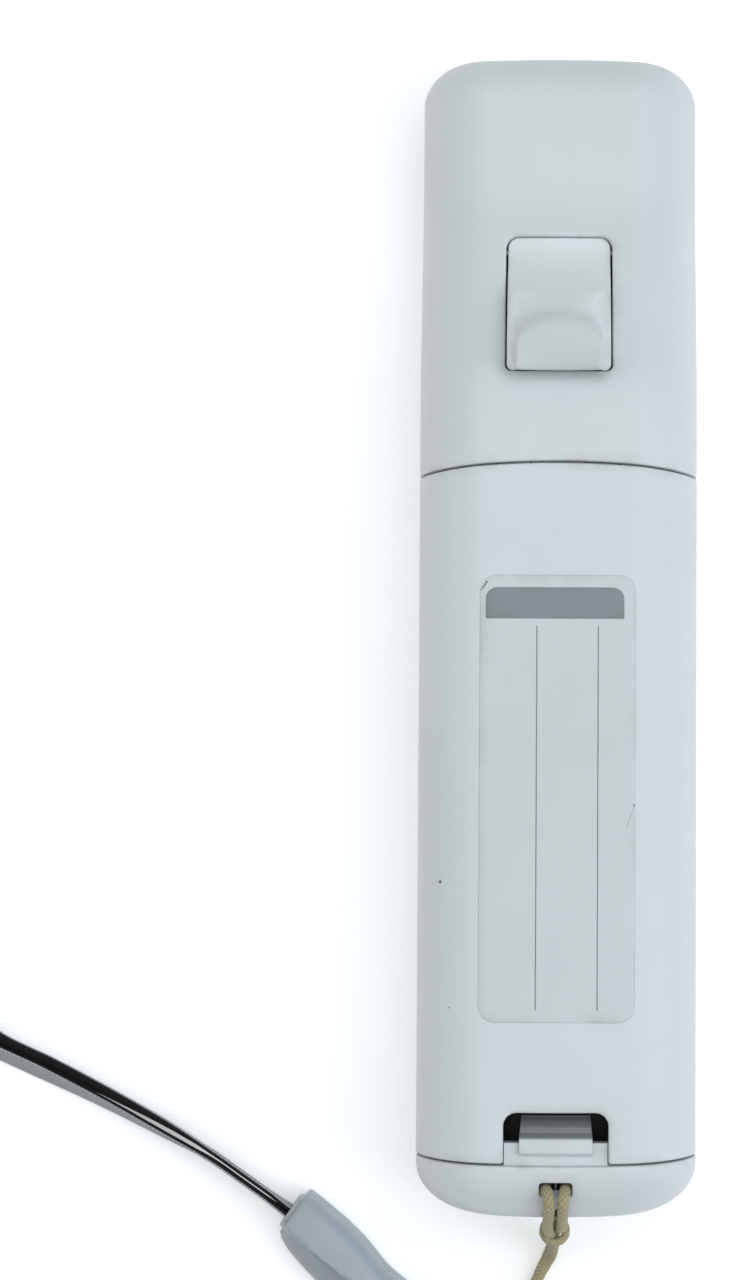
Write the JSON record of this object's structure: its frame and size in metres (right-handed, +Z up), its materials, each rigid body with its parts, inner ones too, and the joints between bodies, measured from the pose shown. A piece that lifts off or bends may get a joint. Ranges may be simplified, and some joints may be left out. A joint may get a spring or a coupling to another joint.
{
  "type": "motion controller wand",
  "caption": "Hand-held motion controller wand with a cross pad, round buttons, a rear trigger, a hinged battery cover over cells and a wrist strap with a slide lock.",
  "frame": {"origin": "on the surface the wand lies on, under the middle of the case", "axes": "+Y along the case towards the nose, +Z up out of the back with the wand lying on its buttons, +X completes the right-handed frame"},
  "size_m": [0.1357, 0.1701, 0.0306],
  "materials": {
    "case_white": "satin",
    "button_white": "gloss",
    "sync_red": "satin",
    "window_black": "gloss",
    "dark_plastic": "matt",
    "grey_plastic": "matt",
    "clear_plastic": "clear",
    "keypad_rubber": "matt",
    "board_green": "satin",
    "chip_black": "matt",
    "plated_steel": "satin",
    "spring_steel": "bright",
    "cell_wrap": "gloss",
    "cord_beige": "braided",
    "lock_grey": "satin",
    "ribbon_grey": "woven"
  },
  "bodies": {
    "case": {"front_case": "case_white", "rear_case": "case_white", "trigger_axle": "plated_steel", "trigger_switch": "dark_plastic", "sync_switch": "dark_plastic", "upper_keypad": "keypad_rubber", "middle_keypad": "keypad_rubber", "lower_keypad": "keypad_rubber", "main_board": "board_green", "board_chips": "chip_black", "radio_can": "plated_steel", "indicator_leds": "clear_plastic", "light_guide": "clear_plastic", "ir_window": "window_black", "ir_camera": "dark_plastic", "speaker": "dark_plastic", "rumble_motor": "plated_steel", "expansion_connector": "case_white", "cell_left": "cell_wrap", "cell_right": "cell_wrap", "bridge_contact": "plated_steel", "terminal_contacts": "plated_steel", "spring_left": "spring_steel", "spring_right": "spring_steel", "shell_screws": "plated_steel", "board_screws": "plated_steel", "strap_pin": "plated_steel", "strap_cord": "cord_beige", "strap_ferrule": "lock_grey", "strap_ribbon": "ribbon_grey"},
    "cover": {"battery_cover": "case_white"},
    "latch": {"cover_latch": "case_white"},
    "trigger_lever": {"trigger": "case_white"},
    "cross_rocker": {"dpad_pivot": "grey_plastic"},
    "cross_pad": {"dpad_cross": "button_white"},
    "thumb_key": {"a_button": "button_white"},
    "minus_key": {"minus_button": "button_white"},
    "home_key": {"home_button": "button_white"},
    "plus_key": {"plus_button": "button_white"},
    "one_key": {"one_button": "button_white"},
    "two_key": {"two_button": "button_white"},
    "power_key": {"power_button": "button_white"},
    "sync_key": {"sync_button": "sync_red"},
    "spinner": {"rumble_weight": "plated_steel"},
    "slide_lock": {"strap_lock": "lock_grey"},
    "lock_key": {"lock_button": "lock_grey"}
  },
  "joints": [
    {"name": "cover_swing", "type": "hinge", "parent": "case", "child": "cover", "pos_m": [0, 0.0205, 0.0269], "axis": [-1, 0, 0], "range_deg": [0, 45]},
    {"name": "latch_flex", "type": "hinge", "parent": "cover", "child": "latch", "pos_m": [0, -0.06005, 0.02605], "axis": [-1, 0, 0], "range_deg": [0, 8], "stiffness_Nm_per_rad": 0.0025},
    {"name": "trigger_pull", "type": "hinge", "parent": "case", "child": "trigger_lever", "pos_m": [0, 0.048, 0.01729], "axis": [1, 0, 0], "range_deg": [0, 7], "stiffness_Nm_per_rad": 0.1},
    {"name": "cross_rock_x", "type": "hinge", "parent": "case", "child": "cross_rocker", "pos_m": [0, 0.045, 0.0036], "axis": [1, 0, 0], "range_deg": [-3, 3], "stiffness_Nm_per_rad": 0.08},
    {"name": "cross_rock_y", "type": "hinge", "parent": "cross_rocker", "child": "cross_pad", "pos_m": [0, 0.045, 0.0036], "axis": [0, 1, 0], "range_deg": [-3, 3], "stiffness_Nm_per_rad": 0.08},
    {"name": "thumb_press", "type": "slide", "parent": "case", "child": "thumb_key", "axis": [0, 0, 1], "range_m": [0, 0.0008], "stiffness_N_per_m": 800, "springref_m": -0.0002},
    {"name": "one_press", "type": "slide", "parent": "case", "child": "one_key", "axis": [0, 0, 1], "range_m": [0, 0.0008], "stiffness_N_per_m": 800, "springref_m": -0.0002},
    {"name": "two_press", "type": "slide", "parent": "case", "child": "two_key", "axis": [0, 0, 1], "range_m": [0, 0.0008], "stiffness_N_per_m": 800, "springref_m": -0.0002},
    {"name": "minus_press", "type": "slide", "parent": "case", "child": "minus_key", "axis": [0, 0, 1], "range_m": [0, 0.0008], "stiffness_N_per_m": 400, "springref_m": -0.0002},
    {"name": "home_press", "type": "slide", "parent": "case", "child": "home_key", "axis": [0, 0, 1], "range_m": [0, 0.0008], "stiffness_N_per_m": 400, "springref_m": -0.0002},
    {"name": "plus_press", "type": "slide", "parent": "case", "child": "plus_key", "axis": [0, 0, 1], "range_m": [0, 0.0008], "stiffness_N_per_m": 400, "springref_m": -0.0002},
    {"name": "power_press", "type": "slide", "parent": "case", "child": "power_key", "axis": [0, 0, 1], "range_m": [0, 0.0008], "stiffness_N_per_m": 400, "springref_m": -0.0002},
    {"name": "sync_press", "type": "slide", "parent": "case", "child": "sync_key", "axis": [0, 0, -1], "range_m": [0, 0.0008], "stiffness_N_per_m": 400, "springref_m": -0.0002},
    {"name": "weight_spin", "type": "hinge", "parent": "case", "child": "spinner", "pos_m": [0.0019, 0.0257, 0.0157], "axis": [1, 0, 0], "continuous": true},
    {"name": "lock_slide", "type": "slide", "parent": "case", "child": "slide_lock", "axis": [-0.8192, 0.5736, 0], "range_m": [0, 0.01]},
    {"name": "lock_press", "type": "slide", "parent": "slide_lock", "child": "lock_key", "axis": [0.8192, -0.5736, 0], "range_m": [0, 0.002], "stiffness_N_per_m": 400, "springref_m": -0.0003}
  ]
}
